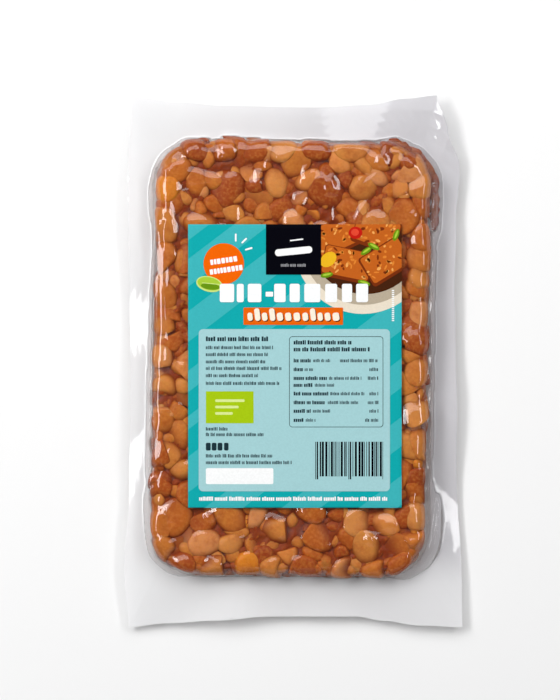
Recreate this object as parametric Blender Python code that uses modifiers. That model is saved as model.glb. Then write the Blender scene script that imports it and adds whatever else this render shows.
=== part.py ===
"""Vacuum-packed tempeh cake, lying on its back with the labelled side up.

The cake is a flat rounded block of whole and split beans grown together. A clear bag is
drawn tight round it: its two sheets are sealed together in a flat margin all round the
block, a little below half of its height. A printed label is stuck on the front.

X is the width, Y the length, with the top of the pack at +Y, and +Z is up.
"""

import math
import random

import bmesh
import bpy
from mathutils import Matrix, Vector

# Block of beans: its outline seen from above, and its thickness over the beans
BLOCK_WIDTH = 0.1032
BLOCK_LENGTH = 0.1632
BLOCK_HEIGHT = 0.0150
BLOCK_CORNER = 0.0175
BLOCK_EDGE = 0.0038
CORNER_STEPS = 6
EDGE_STEPS = 2
BLOCK_CENTRE = (-0.0008, 0.0013)
BLOCK_TURN = math.radians(-1.1)

# The core that the beans are fused to lies this far inside the block's faces
CORE_BELOW_FRONT = 0.0026
CORE_ABOVE_BACK = 0.0020
CORE_INSIDE_SIDE = 0.0022

# Beans, from the smallest to the largest size. Some show the flat side of a split bean,
# some have an end broken off.
BEAN_LENGTH = (0.0112, 0.0165)
BEAN_WIDTH = (0.0078, 0.0100)
BEAN_THICKNESS = (0.0058, 0.0070)
BEAN_SEGMENTS = 6
BEAN_RINGS = 4
FLAT_SHARE = 0.18
FLAT_SIDE = 0.25
BROKEN_SHARE = 0.30
BROKEN_END = 0.35
BEAN_LUMP = 0.12
BEAN_TILT = math.radians(14)
SIDE_TURN = math.radians(24)

# How closely the beans lie on each face, and how unevenly high
FRONT_SPACING = 0.0088
BACK_SPACING = 0.0098
SIDE_SPACING = 0.0122
RIM_INSET = 0.0036
RIM_BAND = 0.0080
RIM_DROP = 0.0012
FRONT_UNEVEN = 0.0008
BACK_DEEPEST = 0.0005
BACK_UNEVEN = 0.0007
SIDE_UNEVEN = 0.0006
SIDE_HEIGHTS = (0.0046, 0.0103)
SIDE_STRAY = 0.2
PLACING_TRIES = 6000
SETTLING_STEPS = 8
SEED = 19
SEAM_FACES_KEPT = 0.57

# Foot at the middle of the back, which gives the block a flat spot to lie on
FOOT_RADIUS = 0.0050
FOOT_HEIGHT = 0.0030
FOOT_STEPS = 12

# Clear bag: its corners, and how far each edge draws in (or out, where negative)
# at a share of the way along it
BAG_TOP_LEFT = (-0.0613, 0.0997)
BAG_TOP_RIGHT = (0.0538, 0.1002)
BAG_BOTTOM_RIGHT = (0.0635, -0.1002)
BAG_BOTTOM_LEFT = (-0.0624, -0.1002)
TOP_EDGE = ((0.0, 0.0), (0.17, 0.0022), (0.30, 0.0034), (0.60, 0.0042), (0.78, 0.0032),
            (0.90, 0.0011), (1.0, 0.0))
RIGHT_EDGE = ((0.0, 0.0), (0.066, -0.0035), (0.133, -0.0073), (0.25, -0.0050),
              (0.37, -0.0032), (0.53, -0.0023), (0.76, -0.0005), (0.87, -0.0008), (1.0, 0.0))
BOTTOM_EDGE = ((0.0, 0.0), (0.12, 0.0014), (0.26, 0.0025), (0.42, 0.0040), (0.68, 0.0040),
               (0.77, 0.0023), (0.87, 0.0006), (1.0, 0.0))
LEFT_EDGE = ((0.0, 0.0), (0.16, -0.0013), (0.32, -0.0004), (0.55, 0.0003), (0.75, -0.0001),
             (0.89, -0.0019), (1.0, 0.0))

# Sealed margin of the bag
FILM_THICKNESS = 0.0004
MARGIN_GAP = 0.0005
MARGIN_HEIGHT = 0.0056
MARGIN_DROOP = 0.0014
MARGIN_WAVE = 0.0006
MARGIN_WAVES = ((3, 0.6), (7, 2.1), (11, 4.0))
MARGIN_ROWS = 4
MARGIN_STEPS = 13

# The top right corner of the margin curls up
CURL_LIFT = 0.0062
CURL_CENTRE = (0.0580, 0.0905)
CURL_REACH = 0.0130

# Label
LABEL_WIDTH = 0.0801
LABEL_LENGTH = 0.1063
LABEL_THICKNESS = 0.0003
LABEL_CENTRE = (0.0003, -0.0017)
LABEL_GAP = 0.0003

FLOOR_CUT_SIZE = 0.3
SLIVER = 1e-7


def clear_scene():
    """Remove every object that the scene starts with."""
    for obj in list(bpy.data.objects):
        bpy.data.objects.remove(obj, do_unlink=True)


def new_collection(name):
    """A new collection in the scene."""
    collection = bpy.data.collections.new(name)
    bpy.context.scene.collection.children.link(collection)
    return collection


def principled(name, colour, roughness, **extra):
    """A plain Principled material."""
    material = bpy.data.materials.new(name)
    material.use_nodes = True
    shader = material.node_tree.nodes["Principled BSDF"]
    shader.inputs["Base Color"].default_value = (*colour, 1.0)
    shader.inputs["Roughness"].default_value = roughness
    shader.inputs["Metallic"].default_value = 0.0
    for socket, value in extra.items():
        shader.inputs[socket].default_value = value
    return material


def mesh_object(name, bm, collection):
    """An object in the collection made from a bmesh, which is then freed."""
    mesh = bpy.data.meshes.new(name)
    bm.to_mesh(mesh)
    bm.free()
    obj = bpy.data.objects.new(name, mesh)
    collection.objects.link(obj)
    return obj


def block_frame():
    """The turn and the place of the block in the pack."""
    return Matrix.Translation((*BLOCK_CENTRE, 0.0)) @ Matrix.Rotation(BLOCK_TURN, 4, "Z")


def build_core(collection):
    """The slab under the beans, with round corners and rounded rims."""
    width = BLOCK_WIDTH - 2 * CORE_INSIDE_SIDE
    length = BLOCK_LENGTH - 2 * CORE_INSIDE_SIDE
    height = BLOCK_HEIGHT - CORE_BELOW_FRONT - CORE_ABOVE_BACK
    bm = bmesh.new()
    bmesh.ops.create_cube(bm, size=1.0)
    bmesh.ops.scale(bm, vec=(width, length, height), verts=bm.verts)
    upright = [e for e in bm.edges if abs(e.verts[0].co.z - e.verts[1].co.z) > height / 2]
    bmesh.ops.bevel(bm, geom=upright, offset=BLOCK_CORNER, segments=CORNER_STEPS, profile=0.5,
                    affect="EDGES")
    rims = [e for e in bm.edges if abs(e.verts[0].co.z - e.verts[1].co.z) < SLIVER]
    bmesh.ops.bevel(bm, geom=rims, offset=BLOCK_EDGE, segments=EDGE_STEPS, profile=0.5,
                    affect="EDGES")
    middle = CORE_ABOVE_BACK + height / 2
    bmesh.ops.transform(bm, matrix=block_frame() @ Matrix.Translation((0, 0, middle)),
                        verts=bm.verts)
    return mesh_object("tempeh_cake", bm, collection)


def unit_directions():
    """Directions to the corners of a coarse ball with its poles along X."""
    directions = [Vector((1, 0, 0)), Vector((-1, 0, 0))]
    for ring in range(1, BEAN_RINGS):
        polar = math.pi * ring / BEAN_RINGS
        for segment in range(BEAN_SEGMENTS):
            turn = 2 * math.pi * segment / BEAN_SEGMENTS
            directions.append(Vector((math.cos(polar), math.sin(polar) * math.cos(turn),
                                      math.sin(polar) * math.sin(turn))))
    return directions


def bean_point(direction, half, flat, broken):
    """The point of a bean's surface that lies in a direction from its middle."""
    point = direction * half
    if flat:
        point.z = min(point.z, FLAT_SIDE * half.z)
    if broken:
        point.x = min(point.x, BROKEN_END * half.x)
    return point


def beyond_outline(point):
    """How far a point lies outside the block's outline, and the way out from there."""
    radius = BLOCK_CORNER
    q = Vector((abs(point.x) - BLOCK_WIDTH / 2 + radius, abs(point.y) - BLOCK_LENGTH / 2 + radius))
    past = Vector((max(q.x, 0.0), max(q.y, 0.0)))
    if past.length > 0:
        out = past.normalized()
    else:
        out = Vector((1, 0)) if q.x > q.y else Vector((0, 1))
    distance = past.length + min(max(q.x, q.y), 0.0) - radius
    return distance, Vector((math.copysign(out.x, point.x), math.copysign(out.y, point.y), 0))


def settle_bean(rng, place, outward, reach, turning):
    """Draw one bean and lay it on a face, with its highest point at the reach.

    The reach is measured along the outward direction. The bean stays inside the block's
    outline and below its front. Gives its half sizes, its two marks and its placing matrix.
    """
    half = Vector((rng.uniform(*BEAN_LENGTH), rng.uniform(*BEAN_WIDTH),
                   rng.uniform(*BEAN_THICKNESS))) / 2
    flat = rng.random() < FLAT_SHARE
    broken = rng.random() < BROKEN_SHARE
    along = Vector((1, 0, 0)) if abs(outward.z) > 0.5 else Vector((0, 0, 1)).cross(outward)
    lie = Matrix((along, outward.cross(along), outward)).transposed()
    turn = (Matrix.Rotation(rng.uniform(-turning, turning), 3, "Z")
            @ Matrix.Rotation(rng.uniform(-BEAN_TILT, BEAN_TILT), 3, "X")
            @ Matrix.Rotation(rng.uniform(-BEAN_TILT, BEAN_TILT), 3, "Y"))
    pose = lie @ turn
    corners = [pose @ bean_point(way, half, flat, broken) for way in unit_directions()]
    highest = max(corner.dot(outward) for corner in corners)
    centre = place + outward * (reach - highest - place.dot(outward))
    for _ in range(SETTLING_STEPS):
        excess, out = max((beyond_outline(centre + corner) for corner in corners),
                          key=lambda found: found[0])
        if excess > 0:
            centre -= out * excess
    top = max(corner.z for corner in corners)
    centre.z = min(centre.z, BLOCK_HEIGHT - top)
    matrix = block_frame() @ Matrix.Translation(centre) @ pose.to_4x4()
    return half, flat, broken, matrix


def scatter(rng, spacing):
    """Points over a face, no two nearer than the spacing, thrown at random."""
    points = []
    for _ in range(PLACING_TRIES):
        point = Vector((rng.uniform(-BLOCK_WIDTH / 2, BLOCK_WIDTH / 2),
                        rng.uniform(-BLOCK_LENGTH / 2, BLOCK_LENGTH / 2), 0))
        if beyond_outline(point)[0] > -RIM_INSET:
            continue
        if all((point - other).length > spacing for other in points):
            points.append(point)
    return points


def rim_drop(point):
    """How much lower a bean lies towards the rim of a face."""
    inside = -beyond_outline(point)[0]
    return RIM_DROP * max(0.0, 1 - inside / RIM_BAND) ** 2


def outline_point(distance, inset):
    """A point and the outward direction at a distance along the block's outline.

    The walk starts at the middle of the right side and goes anticlockwise.
    """
    radius = BLOCK_CORNER - inset
    arc = radius * math.pi / 2
    straight = (BLOCK_LENGTH / 2 - BLOCK_CORNER, BLOCK_WIDTH / 2 - BLOCK_CORNER)
    quarter, rest = divmod(distance, sum(straight) + arc)
    turn = Matrix.Rotation(quarter * math.pi / 2, 3, "Z")
    along, across = straight if quarter % 2 == 0 else reversed(straight)
    if rest < along:
        return turn @ Vector((across + radius, rest, 0)), turn @ Vector((1, 0, 0))
    if rest < along + arc:
        angle = (rest - along) / radius
        outward = Vector((math.cos(angle), math.sin(angle), 0))
        return turn @ (Vector((across, along, 0)) + radius * outward), turn @ outward
    past_arc = rest - along - arc
    return turn @ Vector((across - past_arc, along + radius, 0)), turn @ Vector((0, 1, 0))


def outline_length():
    """The length of the block's outline."""
    straight = BLOCK_LENGTH / 2 - BLOCK_CORNER + BLOCK_WIDTH / 2 - BLOCK_CORNER
    return 4 * (straight + BLOCK_CORNER * math.pi / 2)


def place_beans():
    """Where the beans lie over the front, the back and the sides of the core."""
    rng = random.Random(SEED)
    beans = []
    for point in scatter(rng, FRONT_SPACING):
        reach = BLOCK_HEIGHT - rng.uniform(0, FRONT_UNEVEN) - rim_drop(point)
        beans.append(settle_bean(rng, point, Vector((0, 0, 1)), reach, math.pi))
    for point in scatter(rng, BACK_SPACING):
        reach = BACK_DEEPEST - rng.uniform(0, BACK_UNEVEN) - rim_drop(point)
        beans.append(settle_bean(rng, point, Vector((0, 0, -1)), reach, math.pi))
    steps = int(outline_length() / SIDE_SPACING)
    for row, height in enumerate(SIDE_HEIGHTS):
        for step in range(steps):
            share = (step + row / 2 + rng.uniform(-SIDE_STRAY, SIDE_STRAY)) / steps
            point, outward = outline_point(share % 1.0 * outline_length(), 0)
            reach = point.dot(outward) - rng.uniform(0, SIDE_UNEVEN)
            place = point + Vector((0, 0, height))
            beans.append(settle_bean(rng, place, outward, reach, SIDE_TURN))
    return beans


def build_beans(collection):
    """A coarse solid for each bean."""
    for count, (half, flat, broken, matrix) in enumerate(place_beans()):
        lumps = random.Random(count)
        bm = bmesh.new()
        bmesh.ops.create_uvsphere(bm, u_segments=BEAN_SEGMENTS, v_segments=BEAN_RINGS, radius=1.0)
        bmesh.ops.rotate(bm, cent=(0, 0, 0), matrix=Matrix.Rotation(math.pi / 2, 3, "Y"),
                         verts=bm.verts)
        for vert in bm.verts:
            lump = 1 - BEAN_LUMP * lumps.random()
            vert.co = bean_point(vert.co * lump, half, flat, broken)
        bmesh.ops.transform(bm, matrix=matrix, verts=bm.verts)
        mesh_object(f"bean_{count}", bm, collection)


def build_foot(collection):
    """A low round foot at the middle of the back."""
    bm = bmesh.new()
    depth = FOOT_HEIGHT + CORE_ABOVE_BACK
    bmesh.ops.create_cone(bm, cap_ends=True, segments=FOOT_STEPS, radius1=FOOT_RADIUS,
                          radius2=FOOT_RADIUS, depth=depth)
    bmesh.ops.translate(bm, vec=(0, 0, FOOT_HEIGHT - depth / 2), verts=bm.verts)
    return mesh_object("foot", bm, collection)


def floor_cutter(collection):
    """A box whose top is the plane that the pack lies on."""
    bm = bmesh.new()
    bmesh.ops.create_cube(bm, size=FLOOR_CUT_SIZE)
    bmesh.ops.translate(bm, vec=(0, 0, -FLOOR_CUT_SIZE / 2), verts=bm.verts)
    cutter = mesh_object("floor_cutter", bm, collection)
    cutter.hide_render = True
    cutter.display_type = "WIRE"
    return cutter


def keep_largest_body(bm):
    """Fill the hollows that fusing sealed, and drop loose scraps."""
    bm.faces.ensure_lookup_table()
    left = set(bm.faces)
    bodies = []
    while left:
        body = []
        stack = [left.pop()]
        while stack:
            face = stack.pop()
            body.append(face)
            for edge in face.edges:
                for other in edge.link_faces:
                    if other in left:
                        left.remove(other)
                        stack.append(other)
        bodies.append(body)
    bodies.sort(key=len)
    scraps = [face for body in bodies[:-1] for face in body]
    bmesh.ops.delete(bm, geom=scraps, context="FACES")


def with_modifiers_applied(obj):
    """The object's modified mesh, with its corners and faces put in order of place."""
    evaluated = obj.evaluated_get(bpy.context.evaluated_depsgraph_get())
    mesh = bpy.data.meshes.new_from_object(evaluated)
    corners = sorted(mesh.vertices, key=lambda vert: tuple(vert.co))
    rank = {vert.index: number for number, vert in enumerate(corners)}
    faces = []
    for polygon in mesh.polygons:
        ring = [rank[index] for index in polygon.vertices]
        first = ring.index(min(ring))
        faces.append(ring[first:] + ring[:first])
    ordered = bpy.data.meshes.new(obj.name)
    ordered.from_pydata([vert.co for vert in corners], [], sorted(faces))
    bpy.data.meshes.remove(mesh)
    return ordered


def fuse(core, beans, cutter):
    """Join the beans to the core, and cut the whole flat where it lies on the ground."""
    union = core.modifiers.new("beans", "BOOLEAN")
    union.operation = "UNION"
    union.operand_type = "COLLECTION"
    union.collection = beans
    union.solver = "EXACT"
    joined = with_modifiers_applied(core)
    core.modifiers.clear()
    core.data = joined
    thin = core.modifiers.new("seams", "DECIMATE")
    thin.ratio = SEAM_FACES_KEPT
    cut = core.modifiers.new("floor", "BOOLEAN")
    cut.operation = "DIFFERENCE"
    cut.object = cutter
    cut.solver = "EXACT"
    bm = bmesh.new()
    bm.from_mesh(with_modifiers_applied(core))
    core.modifiers.clear()
    keep_largest_body(bm)
    bmesh.ops.dissolve_degenerate(bm, dist=SLIVER, edges=bm.edges)
    bmesh.ops.triangulate(bm, faces=bm.faces)
    bm.to_mesh(core.data)
    bm.free()
    for obj in list(beans.objects):
        bpy.data.objects.remove(obj, do_unlink=True)
    bpy.data.collections.remove(beans)


def drawn_in(edge, share):
    """How far a bag edge draws in at a share of its length, easing between its values."""
    for (start, low), (end, high) in zip(edge, edge[1:]):
        if share <= end:
            ease = (1 - math.cos(math.pi * (share - start) / (end - start))) / 2
            return low + (high - low) * ease
    return edge[-1][1]


def bag_edge_point(start, end, edge, share):
    """A point on one edge of the bag, which runs anticlockwise from start to end."""
    start = Vector((*start, 0))
    end = Vector((*end, 0))
    along = (end - start).normalized()
    inward = Vector((-along.y, along.x, 0))
    return start.lerp(end, share) + inward * drawn_in(edge, share)


def backwards(edge):
    """The same edge, measured from its other end."""
    return tuple((1 - share, depth) for share, depth in reversed(edge))


def bag_outline():
    """Points along the bag's outer edge, anticlockwise from the middle of the right edge."""
    edges = ((BAG_BOTTOM_RIGHT, BAG_TOP_RIGHT, backwards(RIGHT_EDGE)),
             (BAG_TOP_RIGHT, BAG_TOP_LEFT, backwards(TOP_EDGE)),
             (BAG_TOP_LEFT, BAG_BOTTOM_LEFT, LEFT_EDGE),
             (BAG_BOTTOM_LEFT, BAG_BOTTOM_RIGHT, BOTTOM_EDGE))
    points = []
    for side, (start, end, edge) in enumerate(edges):
        following = edges[(side + 1) % 4]
        for step in range(MARGIN_STEPS):
            points.append(bag_edge_point(start, end, edge, 0.5 + 0.5 * step / MARGIN_STEPS))
        for step in range(MARGIN_STEPS):
            points.append(bag_edge_point(*following, 0.5 * step / MARGIN_STEPS))
    return points


def block_outline():
    """As many points round the block, a gap away from it, in step with the bag's corners."""
    half_arc = (BLOCK_CORNER + MARGIN_GAP) * math.pi / 4
    half_length = BLOCK_LENGTH / 2 - BLOCK_CORNER + half_arc
    half_width = BLOCK_WIDTH / 2 - BLOCK_CORNER + half_arc
    points = []
    distance = 0.0
    for run in (half_length, half_width, half_width, half_length) * 2:
        for step in range(MARGIN_STEPS):
            point, _ = outline_point(distance + run * step / MARGIN_STEPS, -MARGIN_GAP)
            points.append(block_frame() @ point)
        distance += run
    return points


def margin_height(point, share, turn):
    """The height of the sealed margin, from the block (share 0) to the bag's edge (1)."""
    wave = sum(math.sin(count * turn + phase) for count, phase in MARGIN_WAVES)
    distance = (Vector(point[:2]) - Vector(CURL_CENTRE)).length
    curl = CURL_LIFT * math.exp(-(distance / CURL_REACH) ** 2)
    return MARGIN_HEIGHT - MARGIN_DROOP * share + MARGIN_WAVE * wave * share + curl * share


def build_margin(collection):
    """The flat sealed margin: an open surface from the block to the bag's edge, made thick."""
    inner = block_outline()
    outer = bag_outline()
    bm = bmesh.new()
    rows = []
    for row in range(MARGIN_ROWS + 1):
        share = row / MARGIN_ROWS
        ring = []
        for near, far in zip(inner, outer):
            point = near.lerp(far, share)
            turn = math.atan2(far.y / BLOCK_LENGTH, far.x / BLOCK_WIDTH)
            point.z = margin_height(point, share, turn)
            ring.append(bm.verts.new(point))
        rows.append(ring)
    for low, high in zip(rows, rows[1:]):
        for step in range(len(low)):
            after = (step + 1) % len(low)
            bm.faces.new((low[step], high[step], high[after], low[after]))
    bmesh.ops.triangulate(bm, faces=bm.faces)
    bmesh.ops.recalc_face_normals(bm, faces=bm.faces)
    margin = mesh_object("clear_bag", bm, collection)
    solidify = margin.modifiers.new("film", "SOLIDIFY")
    solidify.thickness = FILM_THICKNESS
    solidify.offset = 0.0
    return margin


def build_label(collection):
    """The printed label, flat on top of the beans."""
    height = BLOCK_HEIGHT + LABEL_GAP + LABEL_THICKNESS / 2
    bm = bmesh.new()
    bmesh.ops.create_cube(bm, size=1.0)
    bmesh.ops.scale(bm, vec=(LABEL_WIDTH, LABEL_LENGTH, LABEL_THICKNESS), verts=bm.verts)
    label = mesh_object("label", bm, collection)
    label.location = (*LABEL_CENTRE, height)
    return label


def main():
    clear_scene()
    pack = new_collection("tempeh_pack")
    beans = new_collection("beans")
    cutters = new_collection("cutters")
    core = build_core(pack)
    build_beans(beans)
    build_foot(beans)
    fuse(core, beans, floor_cutter(cutters))
    margin = build_margin(pack)
    label = build_label(pack)
    core.data.materials.append(principled("bean_block", (0.38, 0.13, 0.03), 0.45))
    margin.data.materials.append(principled("clear_film", (0.80, 0.80, 0.82), 0.12, Alpha=0.4))
    label.data.materials.append(principled("printed_label", (0.01, 0.41, 0.45), 0.4))


main()
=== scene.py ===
"""Looks of the vacuum-packed tempeh cake: beans, clinging clear film and printed label.

The pack lies on its back, with +Y towards its top and +Z out of its front. Sizes are in
metres unless a name says otherwise.
"""

import math
import random

import bmesh
import bpy
import numpy as np
from mathutils import Matrix, Vector
from mathutils.bvhtree import BVHTree


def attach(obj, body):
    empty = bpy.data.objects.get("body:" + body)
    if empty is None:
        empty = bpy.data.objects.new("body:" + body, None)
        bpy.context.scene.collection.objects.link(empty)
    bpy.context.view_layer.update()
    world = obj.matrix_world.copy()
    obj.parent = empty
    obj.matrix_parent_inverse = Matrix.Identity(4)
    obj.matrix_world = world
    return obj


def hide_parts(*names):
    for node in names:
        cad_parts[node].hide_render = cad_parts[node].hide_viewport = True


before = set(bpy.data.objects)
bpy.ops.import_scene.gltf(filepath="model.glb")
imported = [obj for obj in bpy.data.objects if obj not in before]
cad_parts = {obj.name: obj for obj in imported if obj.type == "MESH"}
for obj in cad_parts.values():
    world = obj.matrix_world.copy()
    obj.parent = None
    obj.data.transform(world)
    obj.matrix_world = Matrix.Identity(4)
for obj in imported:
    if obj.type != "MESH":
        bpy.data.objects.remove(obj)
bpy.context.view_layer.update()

MM = 0.001
FULL_TURN = 6.28

# How high on a ball of radius one its finer part starts
FINE_ABOVE = -0.12

# The photograph's frame, and the real size that it covers at the pack
IMAGE_WIDTH_PX = 560
IMAGE_HEIGHT_PX = 700
PX = 0.376 * MM
PACK_CENTRE_PX = (294.0, 361.5)
CAMERA_DISTANCE = 1.8
CAMERA_FOCUS_HEIGHT = 0.010
SENSOR = 36.0

# The block, as the solids have it, and how far its soft sides bulge past that: left and
# bottom, then right and top
BLOCK_WIDTH = 0.1032
BLOCK_LENGTH = 0.1632
BLOCK_HEIGHT = 0.0150
BLOCK_CORNER = 0.0175
BLOCK_CENTRE = (-0.0008, 0.0013)
BLOCK_TURN = math.radians(-1.1)
BULGES = ((0.0012, 0.0013), (0.0002, 0.0009))

# Beans, as the solids have them
BEAN_LENGTH = (0.0112, 0.0165)
BEAN_WIDTH = (0.0078, 0.0100)
BEAN_THICKNESS = (0.0058, 0.0070)
FLAT_SHARE = 0.18
BROKEN_SHARE = 0.30
BROKEN_END = 0.35
BEAN_TILT = math.radians(24)
SIDE_TURN = math.radians(65)
FRONT_SPACING = 0.0088
BACK_SPACING = 0.0098
SIDE_SPACING = 0.0122
RIM_INSET = 0.0036
RIM_BAND = 0.0080
RIM_DROP = 0.0012
FRONT_UNEVEN = 0.0008
BACK_UNEVEN = 0.0007
SIDE_UNEVEN = 0.0006
SIDE_HEIGHTS = (0.0046, 0.0103)
SIDE_MOVED = 0.2
PLACING_TRIES = 6000
SEED = 19

# Small broken pieces between the beans
BIT_LENGTH = (0.0060, 0.0105)
BIT_WIDTH = (0.0044, 0.0072)
BIT_THICKNESS = (0.0040, 0.0054)
BIT_SPACING = 0.0046
BIT_BACK_SPACING = BIT_SPACING * 1.25
BIT_SIDE_SPACING = BIT_SPACING * 1.2
BIT_INSET = RIM_INSET / 2
BIT_LOWER = (0.0009, 0.0017)
BIT_SIDE_HEIGHTS = (0.0035, 0.0072, 0.0112)
BIT_SIDE_MOVED = 0.3
BIT_TILT = math.radians(28)
BIT_GAP_WIDTH = 0.0040
BIT_SEED = 5

# Middle-sized beans in the wider gaps, a little lower
FILL_SIZES = ((0.0085, 0.0125), (0.0064, 0.0084), (0.0056, 0.0066))
FILL_SPACING = 0.0058
FILL_AWAY = 0.0058
FILL_LOWER = (0.0002, 0.0010)
FILL_SEED = 11

# How the beans are pressed against each other and against the film
BEAN_SWOLLEN = (1.18, 1.26, 1.50)
BEAN_PROUD = 0.0003
LARGE_AWAY = 0.0106
LARGE_SWOLLEN = (1.14, 1.20, 1.00)
SMALL_LOWER = 0.0004
PRESS_REACH = 0.018
PRESS_LEAD = 0.0005
PRESS_OVER = 2.5
PRESS_LAP = 0.0017
PRESS_SOFTNESS = 0.0009
PRESS_SLOPE = 0.07
PAIR_STEP = 7919
FORM_EDGE = 0.0050
FORM_SOFTNESS = 0.0005

# How single beans are worn: cuts as shares of the half size, and low swells
CUT_OFFSET = (0.68, 0.92)
CUT_SOFTNESS = 0.14
FLAT_OFFSET = 0.62
SWELL_WAVES = 6
SWELL_PACE = (1.2, 3.8)
SWELL_HEIGHT = (0.008, 0.024)

# How far inside the label's edges beans, and bits, count as hidden
HIDDEN_INSET = 0.007
BIT_HIDDEN_INSET = 0.004

# The mass that the beans have grown together with; waves: how many, slowest, fastest
CORE_DEPTH = 0.0026
CORE_ROUNDS = 4
CORE_LUMP = 0.00012
CORE_GRAIN = 0.0009
CORE_LUMP_WAVES = (30, 500, 2600)
CORE_TONE_WAVES = (5, 250, 900)
CORE_TONE = 0.35
CORE_TONE_SWING = 0.11

# Colours of the beans as they show in the photograph: by tone, and in places over that
BEAN_COLOURS = ((0.0, (148, 58, 12)), (0.2, (166, 75, 16)), (0.42, (188, 100, 28)),
                (0.62, (196, 118, 46)), (0.8, (206, 134, 62)), (0.93, (210, 140, 88)),
                (1.0, (216, 128, 24)))
PATCH_COLOUR = (160, 66, 12)
SPECK_COLOUR = (226, 150, 66)
# Painted shade: the colour that darkens the beans where they sink in between each other
SUNK_PAINTED_SHADE = (130, 44, 4)
# Painted shade: the colour that darkens the block's sides, around the middle of its height
SIDE_PAINTED_SHADE = (122, 46, 10)

# Bag, as the solids have it
BAG_TOP_LEFT = (-0.0613, 0.0997)
BAG_TOP_RIGHT = (0.0538, 0.1002)
BAG_BOTTOM_RIGHT = (0.0635, -0.1002)
BAG_BOTTOM_LEFT = (-0.0624, -0.1002)
TOP_EDGE = ((0.0, 0.0), (0.17, 0.0022), (0.30, 0.0034), (0.60, 0.0042), (0.78, 0.0032),
            (0.90, 0.0011), (1.0, 0.0))
RIGHT_EDGE = ((0.0, 0.0), (0.066, -0.0035), (0.133, -0.0073), (0.25, -0.0050),
              (0.37, -0.0032), (0.53, -0.0023), (0.76, -0.0005), (0.87, -0.0008), (1.0, 0.0))
BOTTOM_EDGE = ((0.0, 0.0), (0.12, 0.0014), (0.26, 0.0025), (0.42, 0.0040), (0.68, 0.0040),
               (0.77, 0.0023), (0.87, 0.0006), (1.0, 0.0))
LEFT_EDGE = ((0.0, 0.0), (0.16, -0.0013), (0.32, -0.0004), (0.55, 0.0003), (0.75, -0.0001),
             (0.89, -0.0019), (1.0, 0.0))

# Curled corner: how far the film settles below the solid's curl there
CURL_CENTRE = (0.0580, 0.0905)
CURL_REACH = 0.0130
CURL_SETTLED = 0.0034

# Film sheets: number of squares across and along, and how they cling
FRONT_SQUARES = (228, 360)
BACK_SQUARES = (112, 176)
RAY_START = 0.05
NOWHERE = -1.0
FILM_CLEARANCE = 0.00012
FILM_HIGHEST = 0.0158
FLOOR_CLEARANCE = 0.00004
MARGIN_HALF_THICK = 0.0002
SEAL_HALF_GAP = 0.00008
SEAL_WIDTH = 0.0058
SEAL_FADE = 0.0008
OPEN_GAP = 0.004
SHOULDER_SPAN = (-0.007, -0.003)
BESIDE_SPAN = (-0.002, 0.001)
CLING_ON_BEANS = 70.0
CLING_AT_SIDES = 1500.0
CLING_AT_ENDS = 9000.0
CLING_TURN = 1.5
CLING_START_ROUNDS = 10
CLING_ROUNDS = 420
CLING_SMOOTHINGS = 2
SMOOTH_ROUNDS = 3
TAUT_ALONG = 0.42

# Flat pleats of the front sheet along the block's sides: half width in mm, slope across,
# and places in the photograph with heights in mm
PLEATS = ((1.15, 0.31, ((166.5, 168, 15.3), (164.5, 190, 15.2), (163.4, 217, 15.1),
                        (162.2, 255, 15.05), (161.6, 291, 15.0), (161.6, 328, 15.0),
                        (159.8, 365, 14.9), (158.2, 402, 14.8), (159.2, 420, 14.9),
                        (156.8, 439, 14.7), (155.2, 462, 14.5))),
          (0.80, 0.31, ((158.4, 217, 14.1), (155.8, 268, 13.9), (154.0, 300, 13.8),
                        (152.2, 346, 13.6), (150.2, 402, 13.2), (149.6, 457, 13.0),
                        (149.8, 500, 12.6))),
          (0.60, -0.33, ((434.0, 182, 12.4), (434.4, 215, 12.2), (433.0, 260, 12.0),
                         (431.6, 310, 12.0), (431.6, 360, 12.0), (430.8, 410, 11.8),
                         (429.6, 460, 11.6), (428.6, 500, 11.4))))

# Small creases of the front sheet: middle, length and width in the photograph, and lean in
# degrees, with the steep flank to the left, or to the right for a negative width
CREASES = ((187, 176, 20, 9, 5), (167, 197, 40, 6, 4), (177, 197, 16, 7, -15),
           (163, 235, 36, 7, 3), (265, 166, 18, 5, 8), (255, 178, 20, 5, -18),
           (238, 210, 26, 5, 8), (303, 172, 18, 4, 0), (304.5, 203, 28, 5, 2),
           (293, 199, 12, 6, -20), (326, 184, 26, 6, 22), (332, 212, 24, 5, 5),
           (368, 179, 24, 4, 40), (360, 208, 30, 5, 30), (411, 194, 42, -7, -2),
           (415, 216, 14, -4, 0), (407, 268, 44, -5, 3), (165, 510, 26, 9, 12),
           (206, 519, 14, 6, -30), (266, 518, 14, 6, 10), (300, 516, 26, 5, -14),
           (323, 515, 16, 4, 0), (366, 540, 15, 7, -15), (328, 548, 14, 4, 5),
           (206, 558, 12, 6, 30), (317, 567, 14, 4, 0), (171, 543, 12, 5, 10),
           (168, 300, 40, 5, 2), (172, 372, 26, 5, -6), (165, 430, 40, 6, 3),
           (413, 340, 30, -4, 0), (410, 420, 30, -5, 4), (415, 500, 26, -4, -3),
           (376, 160, 18, 5, 12), (221, 160, 14, 5, -10), (240, 540, 14, 5, 12),
           (395, 525, 16, -5, -8))
CREASE_WAVER = 0.0003
CREASE_WAVER_PACE = 2.6
CREASE_STEEP = 0.32
CREASE_GENTLE = 0.10

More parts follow.
